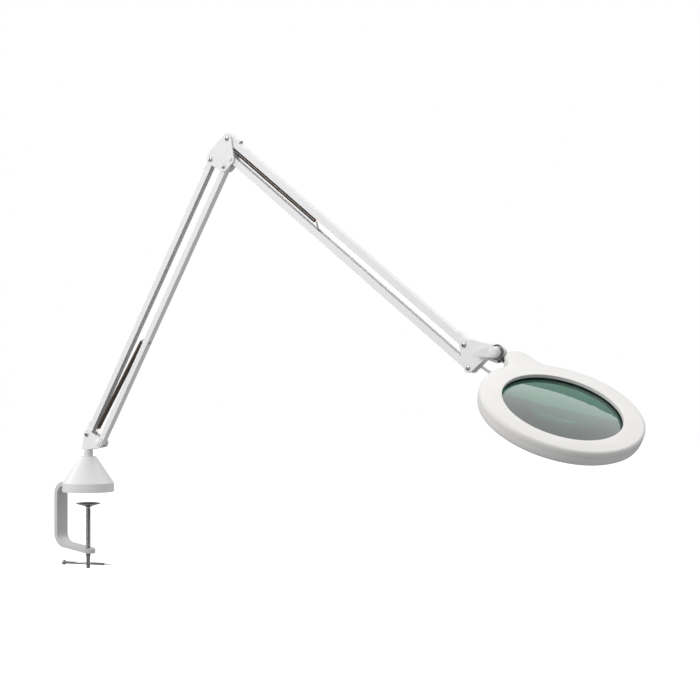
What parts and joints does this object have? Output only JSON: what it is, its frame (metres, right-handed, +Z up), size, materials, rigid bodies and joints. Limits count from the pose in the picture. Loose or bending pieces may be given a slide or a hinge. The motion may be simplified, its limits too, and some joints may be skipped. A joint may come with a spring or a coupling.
{
  "type": "magnifying lamp",
  "caption": "Bench magnifying lamp on a screw table clamp, with spring balanced parallel arms, a tilting and swivelling ring head, a round lens and a ring light.",
  "frame": {"origin": "centre of the clamp's upper jaw face that rests on the table top, on the axis of the base cone and of the clamp screw", "axes": "+Z up along the base cone, +X level, the way the arms reach out to the head, +Y to the far side of the arms"},
  "size_m": [1.2092, 0.2353, 0.7366],
  "materials": {
    "white_paint": "satin",
    "white_shell": "satin",
    "grey_casting": "satin",
    "chrome": "polished",
    "nickel": "polished",
    "spring_steel": "satin",
    "black_rubber": "matte",
    "grey_lead": "satin",
    "lens_glass": "gloss",
    "frosted_plastic": "satin",
    "circuit_board": "satin",
    "green_board": "satin",
    "nylon": "satin"
  },
  "bodies": {
    "clamp": {"clamp_frame": "grey_casting", "base_cone": "white_shell", "socket_bushing": "nylon"},
    "pad": {"clamp_pad": "chrome", "pad_insert": "black_rubber"},
    "screw": {"clamp_screw": "chrome"},
    "tommy": {"tommy_bar": "chrome"},
    "yoke": {"base_yoke": "white_paint", "base_pivot_screw": "nickel", "base_pivot_nut": "nickel", "base_boss_rivet": "white_paint", "lower_spring_pin": "nickel"},
    "lower_outer": {"lower_outer_bar": "white_paint", "lower_base_hood": "white_paint", "lower_elbow_hood": "white_paint"},
    "lower_inner": {"lower_inner_bar": "white_paint", "lower_spring_stud": "nickel", "lower_spring": "spring_steel"},
    "elbow": {"elbow_front_plate": "white_paint", "elbow_rear_plate": "white_paint", "elbow_pivot_c_screw": "nickel", "elbow_pivot_c_nut": "nickel", "elbow_rivet_d": "nickel", "elbow_pivot_a_screw": "nickel", "elbow_pivot_a_nut": "nickel", "elbow_rivet_b": "nickel", "upper_spring_pin": "nickel"},
    "upper_top": {"upper_top_bar": "white_paint", "upper_elbow_hood": "white_paint", "upper_head_hood": "white_paint"},
    "upper_bottom": {"upper_bottom_bar": "white_paint", "upper_spring_stud": "nickel", "upper_spring": "spring_steel"},
    "head_bracket": {"bracket_front_plate": "white_paint", "bracket_rear_plate": "white_paint", "head_pivot_screw": "nickel", "head_pivot_nut": "nickel", "head_rivet": "nickel", "tilt_bolt": "chrome", "tilt_washer": "chrome", "head_lead_a": "grey_lead"},
    "knob": {"wing_knob": "white_shell"},
    "block": {"swivel_block": "white_shell", "neck_washer": "black_rubber", "head_lead_b": "grey_lead"},
    "neck": {"neck_shaft": "chrome", "head_lead_c": "grey_lead"},
    "head": {"head_top_shell": "white_shell", "head_bottom_shell": "white_shell", "lens": "lens_glass", "lens_gasket": "black_rubber", "lens_retainer": "white_shell", "diffuser_ring": "frosted_plastic", "led_ring_board": "circuit_board", "touch_board": "green_board", "swivel_pin": "nickel", "housing_screw_1": "nickel", "housing_screw_2": "nickel", "housing_screw_3": "nickel", "lead_gland": "black_rubber"}
  },
  "joints": [
    {"name": "clamp_travel", "type": "slide", "parent": "clamp", "child": "pad", "axis": [0, 0, 1], "range_m": [-0.045, 0.012]},
    {"name": "screw_turn", "type": "hinge", "parent": "pad", "child": "screw", "pos_m": [0, 0, -0.06], "axis": [0, 0, 1], "range_deg": [-8101, 2161]},
    {"name": "tommy_slide", "type": "slide", "parent": "screw", "child": "tommy", "axis": [0.9455, 0.3256, 0], "range_m": [-0.025, 0.039]},
    {"name": "base_swivel", "type": "hinge", "parent": "clamp", "child": "yoke", "pos_m": [0, 0, 0.04], "axis": [0, 0, 1], "continuous": true},
    {"name": "lower_tilt", "type": "hinge", "parent": "yoke", "child": "lower_outer", "pos_m": [0.0048, 0, 0.1004], "axis": [0, 1, 0], "range_deg": [-45, 40]},
    {"name": "lower_link", "type": "hinge", "parent": "yoke", "child": "lower_inner", "pos_m": [0.0346, 0, 0.0868], "axis": [0, 1, 0], "range_deg": [-45, 40], "deforming": ["lower_spring"]},
    {"name": "elbow_level", "type": "hinge", "parent": "lower_outer", "child": "elbow", "pos_m": [0.30411, 0, 0.56183], "axis": [0, 1, 0], "range_deg": [-40, 45]},
    {"name": "upper_tilt", "type": "hinge", "parent": "elbow", "child": "upper_top", "pos_m": [0.34111, 0, 0.59383], "axis": [0, 1, 0], "range_deg": [-75, 15]},
    {"name": "upper_link", "type": "hinge", "parent": "elbow", "child": "upper_bottom", "pos_m": [0.34851, 0, 0.55953], "axis": [0, 1, 0], "range_deg": [-75, 15], "deforming": ["upper_spring"]},
    {"name": "head_level", "type": "hinge", "parent": "upper_top", "child": "head_bracket", "pos_m": [0.82423, 0, 0.25516], "axis": [0, 1, 0], "range_deg": [-15, 75]},
    {"name": "tilt_knob", "type": "hinge", "parent": "head_bracket", "child": "knob", "pos_m": [0.88593, 0, 0.24406], "axis": [0, 1, 0], "range_deg": [-100, 100]},
    {"name": "head_tilt", "type": "hinge", "parent": "head_bracket", "child": "block", "pos_m": [0.88593, 0, 0.24406], "axis": [0, 1, 0], "range_deg": [-60, 60], "deforming": ["head_lead_a"]},
    {"name": "neck_roll", "type": "hinge", "parent": "block", "child": "neck", "pos_m": [0.88343, 0, 0.23446], "axis": [0.9397, 0, -0.342], "range_deg": [-90, 90], "deforming": ["head_lead_b"]},
    {"name": "head_swivel", "type": "hinge", "parent": "neck", "child": "head", "pos_m": [0.91519, 0, 0.2229], "axis": [0.4521, -0.2205, 0.8643], "range_deg": [-35, 75], "deforming": ["head_lead_c"]}
  ],
  "couplings": [
    {"joint": "screw_turn", "follows": "clamp_travel", "rad_per_m": 3141.6},
    {"joint": "lower_link", "follows": "lower_tilt", "ratio": 1},
    {"joint": "elbow_level", "follows": "lower_tilt", "ratio": -1},
    {"joint": "upper_link", "follows": "upper_tilt", "ratio": 1},
    {"joint": "head_level", "follows": "upper_tilt", "ratio": -1}
  ]
}
